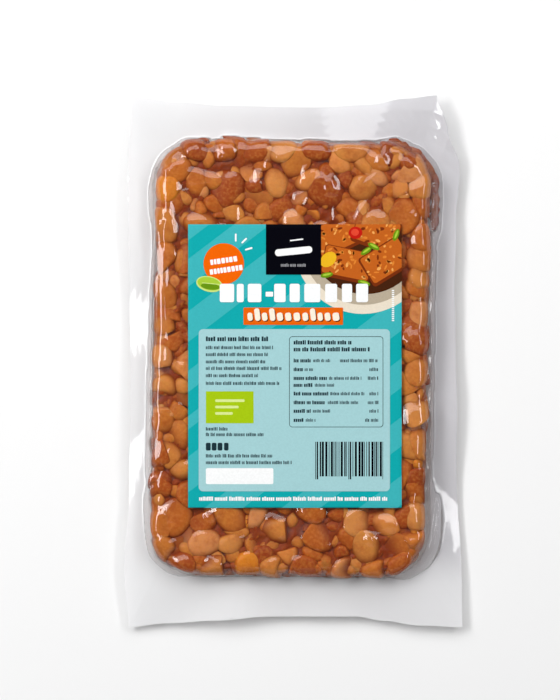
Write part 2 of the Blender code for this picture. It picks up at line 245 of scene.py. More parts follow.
# Crests of the folds beside the corners: places in the photograph with heights in mm, and
# how far from each crest the sheet hangs slack
FOLD_HALF_WIDTH = 0.0007
FOLD_STEEPNESS = 0.9
FOLD_SLACK = 0.10
FOLD_REACHES = (0.0045, 0.0045, 0.0085, 0.0045)
FOLDS = (((386, 141, 7.0), (404, 146, 9.8), (419, 153, 9.6), (431, 166, 9.0),
          (437, 180, 8.4), (438.5, 205, 7.4), (438, 228, 6.0)),
         ((146, 500, 6.0), (149, 530, 8.0), (156, 552, 9.0), (170, 568, 9.4),
          (186, 577, 5.4)),
         ((394, 580, 5.4), (407, 576, 7.6), (423, 563, 9.0), (434, 546, 9.0),
          (438.5, 520, 7.6), (438, 500, 6.0)),
         ((152, 215, 6.4), (152, 190, 7.6), (158, 172, 8.8), (170, 157, 8.4),
          (184, 146, 7.6), (193, 141, 5.4)))

# Crumbs under the top right fold: places in the photograph with heights in mm, and sizes
CRUMB_FOLD = ((391, 144.5, 7.2), (404, 149, 7.6), (417, 156.5, 7.6), (428, 169.5, 7.2),
              (433.5, 182, 6.8), (434.5, 204, 6.0), (434, 228, 5.0))
CRUMB_SIZES = ((0.0060, 0.0090), (0.0030, 0.0042), (0.0024, 0.0034))
CRUMB_STEP = 0.0034
CRUMB_SWELL = 0.12
CRUMB_WAVE = (3.1, 2.3, 4.0)
CRUMB_SEED = 8

# Label, as the solids have it
LABEL_WIDTH = 0.0801
LABEL_LENGTH = 0.1063
LABEL_CENTRE = (0.0003, -0.0017)
LABEL_TOP = 0.01546
LABEL_THICK = 0.00012
LABEL_EDGE_BAND = 0.0022
LABEL_EDGE_DROP = 0.00016

# Print: brightness of the inks, heights of the layers, cuts along the bent edges in mm,
# small strokes as shares of a row's height, and slants
INK_STRENGTH = 0.97
PRINT_LIFT = 0.00011
PRINT_LAYER = 0.000015
STRIPE_LAYER = -5.0
DISH_LAYER = -4.4
DISH_STEP = 0.22
PRINT_CUTS = (0.5, 1.0, 1.5, 2.0, 2.4)
PRINT_SEED = 4
LETTER_WIDTH = (0.32, 0.62)
PLAIN_STROKES = (1.0, 0.66)
BOLD_STROKES = (1.15, 0.8)
TALL_RISE = 0.22
TALL_SHARE = 0.3
WORD_GAP = 0.42
BADGE_TILT = 0.15
STRIPE_SLOPE = 0.76
STRIPES = ((-60, 6.1), (13.1, 23.5), (32.7, 44.2), (55.0, 63.0), (72.0, 77.0),
           (87.2, 100.6), (111.0, 122.0), (133.0, 144.0), (155.0, 166.0))
INKS = {"teal": (16, 169, 173), "pale_teal": (62, 181, 187), "black": (3, 3, 12),
        "white": (252, 253, 253), "grey": (150, 150, 155), "orange": (242, 101, 3),
        "ribbon": (232, 100, 12), "script": (252, 240, 220), "script_shade": (90, 35, 5),
        "leaf": (104, 148, 20), "leaf_light": (170, 205, 60), "leaf_rim": (205, 232, 130),
        "panel": (166, 210, 214), "dark": (30, 52, 60), "green": (168, 201, 18),
        "pale_green": (222, 238, 150), "cream": (236, 224, 204), "plate_shade": (186, 172, 150),
        "gravy": (70, 34, 14), "slice": (196, 98, 30), "slice_dark": (122, 48, 14),
        "crumb": (224, 132, 48), "crumb_light": (240, 170, 88), "lemon": (238, 184, 34),
        "tomato": (196, 30, 18), "tomato_light": (228, 72, 48)}

# Light: names, places, what they face, sizes and powers
WORLD_LIGHT = 0.10
LIGHTS = (("key", (-0.25, 0.95, 1.15), (0, 0, 0), (2.2, 1.0), 18.6),
          ("fill", (0.05, -1.10, 0.95), (0, 0, 0), (1.8, 0.80), 1.4),
          ("left_box", (-0.66, 0.23, 0.84), (0, 0.23, 0), (0.72, 0.27), 5.4),
          ("right_box", (0.68, 0.23, 0.82), (0, 0.23, 0), (0.68, 0.16), 2.7))


def srgb(red, green, blue):
    """A colour given as it shows in the photograph, 0 to 255, as linear light."""
    def linear(value):
        value /= 255
        return value / 12.92 if value <= 0.04045 else ((value + 0.055) / 1.055) ** 2.4
    return linear(red), linear(green), linear(blue), 1.0


def photo_place(px, py):
    """The place across and along of a pixel of the photograph."""
    return np.array((px - PACK_CENTRE_PX[0], PACK_CENTRE_PX[1] - py)) * PX


def stretches(line):
    """The two ends and the two heights of each stretch of a line in the photograph."""
    for (x, y, low), (next_x, next_y, high) in zip(line, line[1:]):
        yield photo_place(x, y), photo_place(next_x, next_y), low * MM, high * MM


# Meshes

def add_object(name, data):
    """An object, put into the scene."""
    obj = bpy.data.objects.new(name, data)
    bpy.context.scene.collection.objects.link(obj)
    return obj


def mesh_from_arrays(name, points, faces, attributes=None):
    """A smooth mesh object from arrays of points and of faces with equal corner counts."""
    mesh = bpy.data.meshes.new(name)
    points = np.asarray(points, np.float32)
    faces = np.asarray(faces, np.int32)
    corners = faces.shape[1]
    mesh.vertices.add(len(points))
    mesh.vertices.foreach_set("co", points.ravel())
    mesh.loops.add(faces.size)
    mesh.loops.foreach_set("vertex_index", faces.ravel())
    mesh.polygons.add(len(faces))
    mesh.polygons.foreach_set("loop_start", np.arange(0, faces.size, corners, dtype=np.int32))
    mesh.update(calc_edges=True)
    mesh.validate()
    mesh.shade_smooth()
    for key, values in (attributes or {}).items():
        attribute = mesh.attributes.new(key, "FLOAT", "POINT")
        attribute.data.foreach_set("value", np.asarray(values, np.float32))
    return add_object(name, mesh)


def mesh_arrays(obj):
    """The points and triangles of a mesh object."""
    mesh = obj.data
    points = np.empty(len(mesh.vertices) * 3, np.float32)
    mesh.vertices.foreach_get("co", points)
    mesh.calc_loop_triangles()
    faces = np.empty(len(mesh.loop_triangles) * 3, np.int32)
    mesh.loop_triangles.foreach_get("vertices", faces)
    return points.reshape(-1, 3), faces.reshape(-1, 3)


def dome(fine, coarse=3):
    """An even ball of unit directions, finer on its upper half."""
    bm = bmesh.new()
    bmesh.ops.create_icosphere(bm, subdivisions=coarse, radius=1.0)
    for _ in range(fine - coarse):
        upper = [e for e in bm.edges if min(v.co.z for v in e.verts) > FINE_ABOVE]
        bmesh.ops.subdivide_edges(bm, edges=upper, cuts=1, use_grid_fill=True)
        for vert in bm.verts:
            vert.co.normalize()
    bmesh.ops.triangulate(bm, faces=bm.faces)
    points = np.array([vert.co for vert in bm.verts])
    bm.verts.index_update()
    faces = np.array([[vert.index for vert in face.verts] for face in bm.faces])
    bm.free()
    return points, faces


FINE_DOME = dome(5)
MIDDLE_DOME = dome(4)
PLAIN_BALL = dome(3)
SMALL_DOME = dome(3, 2)
SMALL_BALL = dome(2, 2)


# Beans

def block_frame():
    """The turn and the place of the block in the pack."""
    return Matrix.Translation((*BLOCK_CENTRE, 0.0)) @ Matrix.Rotation(BLOCK_TURN, 4, "Z")


def round_off(q):
    """How far points lie outside two sides that meet in a round corner, and the way out."""
    past = np.maximum(q, 0.0)
    reach = np.linalg.norm(past, axis=1)
    flat_way = np.where(q[:, :1] > q[:, 1:], (1.0, 0.0), (0.0, 1.0))
    way = np.where(reach[:, None] > 0, past / np.maximum(reach, 1e-12)[:, None], flat_way)
    return reach + np.minimum(q.max(axis=1), 0.0), way


def beyond_outline(points):
    """How far points lie outside the block's outline, and the way out from there."""
    half = np.array((BLOCK_WIDTH, BLOCK_LENGTH)) / 2
    distance, way = round_off(np.abs(points[:, :2]) - (half - BLOCK_CORNER))
    return distance - BLOCK_CORNER, way * np.where(points[:, :2] < 0, -1.0, 1.0)


def beyond_form(points):
    """How far points lie outside the block's pressed outer form, and the way out."""
    sideways, way = beyond_outline(points)
    middle = BLOCK_HEIGHT / 2
    upward = np.abs(points[:, 2] - middle) - middle
    sign = np.where(points[:, 2] < middle, -1.0, 1.0)
    distance, mix = round_off(np.column_stack([sideways, upward]) + FORM_EDGE)
    return distance - FORM_EDGE, np.column_stack([way * mix[:, :1], mix[:, 1] * sign])


def outline_distance(x, y):
    """How far one point lies outside the block's outline."""
    return beyond_outline(np.array([[x, y, 0.0]]))[0][0]


def held_back(over, softness):
    """How far to push points back from a limit that they pass by that much, softly."""
    return np.logaddexp(0.0, over / softness) * softness


def draw_bean(draw, place, outward, reach, level, turning, sizes, ball, tilt=BEAN_TILT,
              swollen=BEAN_SWOLLEN):
    """Draw one bean's size, lie and middle, in the order in which the solids draw them."""
    half = np.array([draw.uniform(*size) for size in sizes]) / 2 * swollen
    flat = draw.random() < FLAT_SHARE
    broken = draw.random() < BROKEN_SHARE
    along = Vector((1, 0, 0)) if abs(outward.z) > 0.5 else Vector((0, 0, 1)).cross(outward)
    lie = Matrix((along, outward.cross(along), outward)).transposed()
    turn = (Matrix.Rotation(draw.uniform(-turning, turning), 3, "Z")
            @ Matrix.Rotation(draw.uniform(-tilt, tilt), 3, "X")
            @ Matrix.Rotation(draw.uniform(-tilt, tilt), 3, "Y"))
    out = np.array(outward)
    centre = np.array(place) + out * (reach - half[2] - np.array(place) @ out)
    distance, way = beyond_outline(centre[None])
    if distance[0] > -half[2]:
        centre[:2] -= way[0] * (distance[0] + half[2])
    return {"half": half, "flat": flat, "broken": broken, "pose": np.array(lie @ turn),
            "centre": centre, "outward": out, "level": level, "ball": ball}


def random_wave(rng, places, slowest, fastest):
    """How far one random wave is on at some places."""
    return places @ (np.array([rng.gauss(0, 1) for _ in range(3)])
                     * rng.uniform(slowest, fastest))


def wave_sum(rng, places, count, slowest, fastest):
    """The sum of some random waves of height one at some places."""
    total = np.zeros(len(places))
    for _ in range(count):
        on = random_wave(rng, places, slowest, fastest)
        total += np.sin(on + rng.uniform(0, FULL_TURN))
    return total


def worn_oval(bean, rng):
    """Points of one bean round its own middle: an uneven oval with cut and worn sides."""
    directions, _ = bean["ball"]
    half = bean["half"]
    points = directions * half
    cuts = []
    if bean["flat"]:
        cuts.append((np.array((0.0, 0.0, 1.0)), FLAT_OFFSET * half[2]))
    if bean["broken"]:
        cuts.append((np.array((1.0, 0.0, 0.0)), BROKEN_END * half[0]))
    for _ in range(rng.randint(1, 3)):
        normal = np.array((rng.gauss(0, 1), rng.gauss(0, 1), rng.gauss(0, 0.6)))
        normal /= np.linalg.norm(normal)
        cuts.append((normal, float(np.linalg.norm(normal * half)) * rng.uniform(*CUT_OFFSET)))
    softness = CUT_SOFTNESS * float(min(half))
    for normal, offset in cuts:
        points = points - np.outer(held_back(points @ normal - offset, softness), normal)
    swell = np.zeros(len(points))
    for _ in range(SWELL_WAVES):
        on = random_wave(rng, directions, *SWELL_PACE)
        swell += rng.uniform(*SWELL_HEIGHT) * np.sin(on + rng.uniform(0, FULL_TURN))
    return points * (1.0 + swell)[:, None]


def press_together(beans):
    """Shape every bean: worn by itself, pressed by its neighbours and by the block's form."""
    centres = np.array([bean["centre"] for bean in beans])
    widths = np.array([(bean["half"][0] + bean["half"][1]) / 2 for bean in beans])
    for index, bean in enumerate(beans):
        rng = random.Random(1000 * SEED + index)
        points = worn_oval(bean, rng) @ bean["pose"].T + bean["centre"]
        toward = centres - bean["centre"]
        far = np.linalg.norm(toward, axis=1)
        for other in np.nonzero((far < PRESS_REACH) & (far > 1e-6))[0]:
            normal = toward[other] / far[other]
            share = widths[index] / (widths[index] + widths[other])
            pair = random.Random(int(min(index, other) * PAIR_STEP + max(index, other)))
            lead = pair.uniform(-PRESS_LEAD, PRESS_LEAD) * (1 if index < other else -1)
            lead += (beans[other]["level"] - bean["level"]) * PRESS_OVER
            over = (points - bean["centre"]) @ normal - far[other] * share - lead - PRESS_LAP
            points = points - np.outer(held_back(over, PRESS_SOFTNESS), normal)
        level = bean["level"]
        slope = np.array([rng.gauss(0, PRESS_SLOPE) for _ in range(3)])
        distance, way = beyond_form(points)
        over = distance + level + (points - bean["centre"]) @ slope
        points = points - way * held_back(over, FORM_SOFTNESS)[:, None]
        bean["points"] = points
        bean["tone"] = rng.random()


def scatter(draw, spacing, inset):
    """Points over a face, no two nearer than the spacing, thrown at random."""
    points = []
    for _ in range(PLACING_TRIES):
        point = Vector((draw.uniform(-BLOCK_WIDTH / 2, BLOCK_WIDTH / 2),
                        draw.uniform(-BLOCK_LENGTH / 2, BLOCK_LENGTH / 2), 0))
        if outline_distance(point.x, point.y) > -inset:
            continue
        if all((point - other).length > spacing for other in points):
            points.append(point)
    return points


def rim_drop(point):
    """How much lower a bean lies towards the rim of a face."""
    inside = -outline_distance(point.x, point.y)
    return RIM_DROP * max(0.0, 1 - inside / RIM_BAND) ** 2


def outline_point(distance):
    """A point and the outward direction at a distance along the block's outline."""
    arc = BLOCK_CORNER * math.pi / 2
    straight = (BLOCK_LENGTH / 2 - BLOCK_CORNER, BLOCK_WIDTH / 2 - BLOCK_CORNER)
    quarter, rest = divmod(distance, sum(straight) + arc)
    turn = Matrix.Rotation(quarter * math.pi / 2, 3, "Z")
    along, across = straight if quarter % 2 == 0 else reversed(straight)
    if rest < along:
        return turn @ Vector((across + BLOCK_CORNER, rest, 0)), turn @ Vector((1, 0, 0))
    if rest < along + arc:
        angle = (rest - along) / BLOCK_CORNER
        outward = Vector((math.cos(angle), math.sin(angle), 0))
        return turn @ (Vector((across, along, 0)) + BLOCK_CORNER * outward), turn @ outward
    past_arc = rest - along - arc
    return turn @ Vector((across - past_arc, along + BLOCK_CORNER, 0)), turn @ Vector((0, 1, 0))


def outline_length():
    """The length of the block's outline."""
    straight = BLOCK_LENGTH / 2 - BLOCK_CORNER + BLOCK_WIDTH / 2 - BLOCK_CORNER
    return 4 * (straight + BLOCK_CORNER * math.pi / 2)


def round_the_side(draw, spacing, heights, moved):
    """Points in rows round the block's side, each moved a little, with the way outward."""
    steps = int(outline_length() / spacing)
    for row, height in enumerate(heights):
        for step in range(steps):
            share = (step + row / 2 + draw.uniform(-moved, moved)) / steps
            point, outward = outline_point(share % 1.0 * outline_length())
            yield point + Vector((0, 0, height)), outward


def under_label(point, inset):
    """Whether a point of the front lies well under the label."""
    x = point.x + BLOCK_CENTRE[0] - LABEL_CENTRE[0]
    y = point.y + BLOCK_CENTRE[1] - LABEL_CENTRE[1]
    return abs(x) < LABEL_WIDTH / 2 - inset and abs(y) < LABEL_LENGTH / 2 - inset


def place_beans():
    """The large beans, where the solids have them, and middle-sized ones between them."""
    draw = random.Random(SEED)
    sizes = (BEAN_LENGTH, BEAN_WIDTH, BEAN_THICKNESS)
    beans = []
    for up, top, spacing, most in ((1, BLOCK_HEIGHT, FRONT_SPACING, FRONT_UNEVEN),
                                   (-1, 0.0, BACK_SPACING, BACK_UNEVEN)):
        for point in scatter(draw, spacing, RIM_INSET):
            uneven = draw.uniform(0, most)
            ball = PLAIN_BALL if under_label(point, HIDDEN_INSET) else FINE_DOME
            reach = top + BEAN_PROUD - uneven - rim_drop(point)
            beans.append(draw_bean(draw, point, Vector((0, 0, up)), reach, uneven, math.pi,
                                   sizes, ball if up > 0 else MIDDLE_DOME))
    for point, outward in round_the_side(draw, SIDE_SPACING, SIDE_HEIGHTS, SIDE_MOVED):
        uneven = draw.uniform(0, SIDE_UNEVEN)
        reach = point.dot(outward) + BEAN_PROUD - uneven
        beans.append(draw_bean(draw, point, outward, reach, uneven, SIDE_TURN, sizes,
                               MIDDLE_DOME))
    large = []
    for bean in beans:
        if all(np.linalg.norm(bean["centre"] - other) > LARGE_AWAY for other in large):
            large.append(bean["centre"])
            bean["half"] = bean["half"] * LARGE_SWOLLEN
        elif abs(bean["outward"][2]) > 0.5:
            bean["level"] += SMALL_LOWER
            bean["centre"] = bean["centre"] - bean["outward"] * SMALL_LOWER
    fill = random.Random(FILL_SEED)
    spots = [bean["centre"] for bean in beans]
    for up, top in ((1, BLOCK_HEIGHT), (-1, 0.0)):
        for point in scatter(fill, FILL_SPACING, RIM_INSET):
            level = fill.uniform(*FILL_LOWER)
            spot = np.array((point.x, point.y, top - up * FILL_SIZES[2][1] / 2))
            if min(np.linalg.norm(np.array(spots) - spot, axis=1)) < FILL_AWAY:
                continue
            spots.append(spot)
            hidden = up > 0 and under_label(point, HIDDEN_INSET)
            reach = top * up + BEAN_PROUD - level - rim_drop(point)
            beans.append(draw_bean(fill, point, Vector((0, 0, up)), reach, level, math.pi,
                                   FILL_SIZES, PLAIN_BALL if hidden else MIDDLE_DOME))
    press_together(beans)
    return beans


def place_bits(beans):
    """Small broken pieces in the gaps where large beans meet."""
    draw = random.Random(BIT_SEED)
    sizes = (BIT_LENGTH, BIT_WIDTH, BIT_THICKNESS)
    centres = np.array([bean["centre"] for bean in beans])
    bits = []

    def add(point, outward, reach, level, ball):
        bit = draw_bean(draw, point, outward, reach, level, math.pi, sizes, ball, BIT_TILT, 1.0)
        away = np.sort(np.linalg.norm(centres - bit["centre"], axis=1))
        if away[1] - away[0] > BIT_GAP_WIDTH:
            return
        rng = random.Random(len(bits))
        points = worn_oval(bit, rng) @ bit["pose"].T + bit["centre"]
        distance, way = beyond_form(points)
        bit["points"] = points - way * held_back(distance + level, FORM_SOFTNESS)[:, None]
        bit["tone"] = rng.random()
        bits.append(bit)

    for point in scatter(draw, BIT_SPACING, BIT_INSET):
        level = draw.uniform(*BIT_LOWER)
        if not under_label(point, BIT_HIDDEN_INSET):
            add(point, Vector((0, 0, 1)), BLOCK_HEIGHT - level - rim_drop(point), level,
                SMALL_DOME)
    for point in scatter(draw, BIT_BACK_SPACING, BIT_INSET):
        level = draw.uniform(*BIT_LOWER)
        add(point, Vector((0, 0, -1)), -level - rim_drop(point), level, SMALL_BALL)
    for point, outward in round_the_side(draw, BIT_SIDE_SPACING, BIT_SIDE_HEIGHTS,
                                         BIT_SIDE_MOVED):
        level = draw.uniform(*BIT_LOWER)
        add(point, outward, point.dot(outward) - level, level, SMALL_BALL)
    return bits


def fold_crumbs():
    """Small crumbs that lie under the fold at the top right corner, along its crest."""
    draw = random.Random(CRUMB_SEED)
    inverse = block_frame().inverted()
    crumbs = []
    for start, end, low, high in stretches(CRUMB_FOLD):
        start = inverse @ Vector((*start, low))
        along = inverse @ Vector((*end, high)) - start
        steps = max(1, round(along.length / CRUMB_STEP))
        for step in range(steps):
            size = [draw.uniform(*span) for span in CRUMB_SIZES]
            place = start + along * ((step + draw.uniform(0.2, 0.8)) / steps)
            turn = Matrix.Rotation(math.atan2(along.y, along.x) + draw.gauss(0, 0.15), 3, "Z")
            points = SMALL_BALL[0] * np.array(size) / 2
            swell = 1 + CRUMB_SWELL * np.sin(SMALL_BALL[0] @ np.array(CRUMB_WAVE)
                                             + draw.uniform(0, FULL_TURN))
            points = (points * swell[:, None]) @ np.array(turn).T + np.array(place)
            crumbs.append({"points": points, "ball": SMALL_BALL, "level": 0.0,
                           "tone": draw.uniform(0.0, 0.5)})
    return crumbs


def join_beans(name, beans):
    """One piece from many beans, with each bean's tone and each point's depth kept."""
    points = np.vstack([bean["points"] for bean in beans])
    counts = [len(bean["points"]) for bean in beans]
    offsets = np.cumsum([0] + counts[:-1])
    faces = np.vstack([bean["ball"][1] + start for bean, start in zip(beans, offsets)])
    tone = np.repeat([bean["tone"] for bean in beans], counts)
    level = np.repeat([bean["level"] for bean in beans], counts)
    sunk = -beyond_form(points)[0] - level
    points[:, 2] = np.maximum(points[:, 2], FLOOR_CLEARANCE * 4)
    return place_block_piece(name, points, faces, tone, sunk)


def place_block_piece(name, points, faces, tone, sunk):
    """A piece of the block, moved to the block's place in the pack."""
    matrix = np.array(block_frame())
    share = points[:, :2] / (BLOCK_WIDTH, BLOCK_LENGTH)
    bulged = points.copy()
    bulged[:, :2] += BULGES[1] * (0.5 + share) ** 2 - BULGES[0] * (0.5 - share) ** 2
    placed = bulged @ matrix[:3, :3].T + matrix[:3, 3]
    return mesh_from_arrays(name, placed, faces, {"tone": tone, "sunk": sunk / MM})


def build_core():
    """The grown-together mass between the beans: a rounded slab with a lumpy skin."""
    middle = BLOCK_HEIGHT / 2
    extent = np.array((BLOCK_WIDTH / 2, BLOCK_LENGTH / 2, middle))
    steps = [int(2 * size / CORE_GRAIN) for size in extent]
    points = []
    faces = []
    for axis in range(3):
        first, second = [other for other in range(3) if other != axis]
        u = np.linspace(-1, 1, steps[first] + 1)
        v = np.linspace(-1, 1, steps[second] + 1)
        grid_u, grid_v = np.meshgrid(u, v)
        for sign in (-1, 1):
            side = np.empty((grid_u.size, 3))
            side[:, first] = grid_u.ravel()
            side[:, second] = grid_v.ravel()
            side[:, axis] = sign
            flip = (sign > 0) == (axis == 1)
            faces.append(grid_faces(len(v), len(u), flip) + sum(len(p) for p in points))
            points.append(side * extent + (0, 0, middle))
    points = np.vstack(points)
    faces = np.vstack(faces)
    rng = random.Random(SEED)
    for _ in range(CORE_ROUNDS):
        distance, way = beyond_form(points)
        points = points - way * (distance + CORE_DEPTH)[:, None]
    swell = CORE_LUMP * wave_sum(rng, points, *CORE_LUMP_WAVES)
    points = points + beyond_form(points)[1] * swell[:, None]
    sunk = -beyond_form(points)[0]
    tone = CORE_TONE + CORE_TONE_SWING * wave_sum(rng, points, *CORE_TONE_WAVES)
    return place_block_piece("bean_core", points, faces, np.clip(tone, 0, 1), sunk)


# Bag outline and film

def drawn_in(edge, shares):
    """How far a bag edge draws in at shares of its length, easing between its values."""
    depth = np.zeros(len(shares))
    for (start, low), (end, high) in zip(edge, edge[1:]):
        ease = (1 - np.cos(np.pi * np.clip((shares - start) / (end - start), 0, 1))) / 2
        depth = np.where(shares >= start, low + (high - low) * ease, depth)
    return depth


def edge_points(start, end, edge, shares, inward_sign):
    """Points along one bag edge from start to end."""
    start = np.array(start)
    end = np.array(end)
    along = (end - start) / np.linalg.norm(end - start)
    inward = np.array((-along[1], along[0])) * inward_sign
    return start + np.outer(shares, end - start) + np.outer(drawn_in(edge, shares), inward)


def spread_between(bottom, top, left, right):
    """Places inside four edges: rows from bottom to top, columns from left to right."""
    u = np.linspace(0, 1, len(bottom))[None, :, None]
    v = np.linspace(0, 1, len(left))[:, None, None]
    ruled = ((1 - v) * bottom[None] + v * top[None] + (1 - u) * left[:, None]
             + u * right[:, None])
    corners = ((1 - u) * (1 - v) * bottom[0] + u * (1 - v) * bottom[-1]
               + (1 - u) * v * top[0] + u * v * top[-1])
    return ruled - corners


def bag_places(squares):
    """Places of the front sheet, out to the bag's edge."""
    across = np.linspace(0, 1, squares[0] + 1)
    up = np.linspace(0, 1, squares[1] + 1)
    return spread_between(edge_points(BAG_BOTTOM_LEFT, BAG_BOTTOM_RIGHT, BOTTOM_EDGE, across, 1),
                          edge_points(BAG_TOP_LEFT, BAG_TOP_RIGHT, TOP_EDGE, across, -1),
                          edge_points(BAG_TOP_LEFT, BAG_BOTTOM_LEFT, LEFT_EDGE, 1 - up, 1),
                          edge_points(BAG_TOP_RIGHT, BAG_BOTTOM_RIGHT, RIGHT_EDGE, 1 - up, -1))


def seal_places(squares):
    """Places of the back sheet, out to the line round the block where it joins the front."""
    arc = BLOCK_CORNER * math.pi / 2
    long_run = BLOCK_LENGTH - 2 * BLOCK_CORNER + arc
    short_run = BLOCK_WIDTH - 2 * BLOCK_CORNER + arc
    matrix = np.array(block_frame())

    def run(start, length, count):
        edge = []
        for share in np.linspace(0, 1, count + 1):
            point, outward = outline_point((start + length * share) % outline_length())
            edge.append((point + outward * SEAL_WIDTH)[:2])
        return np.array(edge) @ matrix[:2, :2].T + matrix[:2, 3]

    right_start = -long_run / 2
    right = run(right_start, long_run, squares[1])
    top = run(right_start + long_run, short_run, squares[0])
    left = run(right_start + long_run + short_run, long_run, squares[1])
    bottom = run(right_start + 2 * long_run + short_run, short_run, squares[0])
    return spread_between(bottom, top[::-1], left[::-1], right)


def heights_on(tree, places, from_above):
    """Where rays straight down, or up, first meet a surface, NaN where they miss."""
    start = RAY_START if from_above else -RAY_START
    way = Vector((0, 0, -1 if from_above else 1))
    hits = [tree.ray_cast(Vector((x, y, start)), way)[0] for x, y in places.reshape(-1, 2)]
    heights = [np.nan if hit is None else hit.z for hit in hits]
    return np.array(heights).reshape(places.shape[:2])


def neighbours(values, **padding):
    """The values next to each place of a grid: below, above, left and right."""
    padded = np.pad(values, 1, **(padding or {"mode": "edge"}))
    return padded[:-2, 1:-1], padded[2:, 1:-1], padded[1:-1, :-2], padded[1:-1, 2:]


def spread_into_gaps(values):
    """Fill the NaN places of a grid from their neighbours."""
    values = values.copy()
    while np.isnan(values).any():
        near = np.stack(neighbours(values, constant_values=np.nan))
        count = (~np.isnan(near)).sum(axis=0)
        mean = np.nansum(near, axis=0) / np.maximum(count, 1)
        values = np.where(np.isnan(values) & (count > 0), mean, values)
    return values


def neighbour_mean(values):
    """The mean of each place's four neighbours, the border kept level."""
    return sum(neighbours(values)) / 4


def cling(ground, places, fold_distance):
    """The height of a sheet sucked down on the ground and stretched over its gaps."""
    middle = ground.shape[0] // 2
    spacing = np.ptp(places[middle, :, 0]) / (ground.shape[1] - 1)
    flat = places.reshape(-1, 2) - np.array(BLOCK_CENTRE)
    outside, way = beyond_outline(np.column_stack([flat, np.zeros(len(flat))]))
    outside = outside.reshape(ground.shape)
    endways = way[:, 1].reshape(ground.shape) ** 2
    shoulder, beside = [np.clip((outside - start) / (end - start), 0, 1)
                        for start, end in (SHOULDER_SPAN, BESIDE_SPAN)]
    around = CLING_AT_SIDES + (CLING_AT_ENDS - CLING_AT_SIDES) * endways ** CLING_TURN
    around = around * (FOLD_SLACK + (1 - FOLD_SLACK) * np.clip(fold_distance, 0, 1) ** 2)
    pull = CLING_ON_BEANS + (around - CLING_ON_BEANS) * beside
    sag = spacing ** 2 * pull / 4
    taut = 0.5 + TAUT_ALONG * shoulder * (1 - 2 * endways)
    sheet = ground.copy()
    for _ in range(CLING_START_ROUNDS):
        sheet = np.maximum.reduce([sheet, *neighbours(sheet)])
    for _ in range(CLING_ROUNDS):
        below, above, left, right = neighbours(sheet)
        along = (below + above) / 2
        across = (left + right) / 2
        sheet = np.maximum(ground, taut * along + (1 - taut) * across - sag)
    for _ in range(CLING_SMOOTHINGS):
        smooth = sheet
        for _ in range(SMOOTH_ROUNDS):
            smooth = neighbour_mean(smooth)
        short = np.maximum(ground - smooth, 0.0)
        for _ in range(SMOOTH_ROUNDS):
            short = np.maximum(short, neighbour_mean(short))
        sheet += (smooth + short - sheet) * (1 - beside)
    return sheet


def grid_faces(rows, columns, flip):
    """The quads of a grid with that many corners each way."""
    index = np.arange(rows * columns).reshape(rows, columns)
    quad = np.stack([index[:-1, :-1], index[:-1, 1:], index[1:, 1:], index[1:, :-1]], axis=-1)
    quad = quad.reshape(-1, 4)
    return quad[:, ::-1] if flip else quad


def fold_heights(places):
    """The crests that the front sheet's folds stand up on, and how far away each place is,
    as a share of the nearest fold's reach."""
    found = np.full(places.shape[:2], NOWHERE)
    nearest = np.full(places.shape[:2], 1.0)
    for crest, reach in zip(FOLDS, FOLD_REACHES):
        for start, end, low, high in stretches(crest):
            along = end - start
            share = np.clip((places - start) @ along / (along @ along), 0, 1)
            away = np.linalg.norm(places - (start + share[..., None] * along), axis=-1)
            height = low + (high - low) * share - away * FOLD_STEEPNESS
            found = np.where(away < FOLD_HALF_WIDTH, np.maximum(found, height), found)
            nearest = np.minimum(nearest, away / reach)
    return found, nearest


def pleat_heights(places):
    """How high the front sheet's flat pleats lie along the block's sides."""
    found = np.full(places.shape[:2], NOWHERE)
    for half_width, slope, line in PLEATS:
        for start, end, low, high in stretches(line):
            along = end - start
            share = (places - start) @ along / (along @ along)
            across = (places - start) @ np.array((-along[1], along[0])) / np.hypot(*along)
            height = low + (high - low) * share + across * slope
            on = (share >= 0) & (share <= 1) & (np.abs(across) < half_width * MM)
            found = np.where(on, np.maximum(found, height), found)
    return found


def crease_heights(places):
    """How far the front sheet stands up in small creases, each with one steep flank."""
    found = np.zeros(places.shape[:2])
    for px, py, length, width, lean in CREASES:
        angle = math.radians(90 - lean)
        along = np.array((math.cos(angle), math.sin(angle)))
        offset = places - photo_place(px, py)
        lengthwise = offset @ along / (length * PX / 2)
        across = offset @ np.array((along[1], -along[0])) * math.copysign(1, width)
        across = across + CREASE_WAVER * np.sin(lengthwise * CREASE_WAVER_PACE + px)
        rise = abs(width) * PX * CREASE_STEEP * np.clip(1 - lengthwise ** 2, 0, 1)
        across = across - abs(width) * PX / 2
        flank = np.where(across < 0, rise + across * CREASE_STEEP,
                         rise - across * CREASE_GENTLE)
        found = np.maximum(found, flank)
    return found


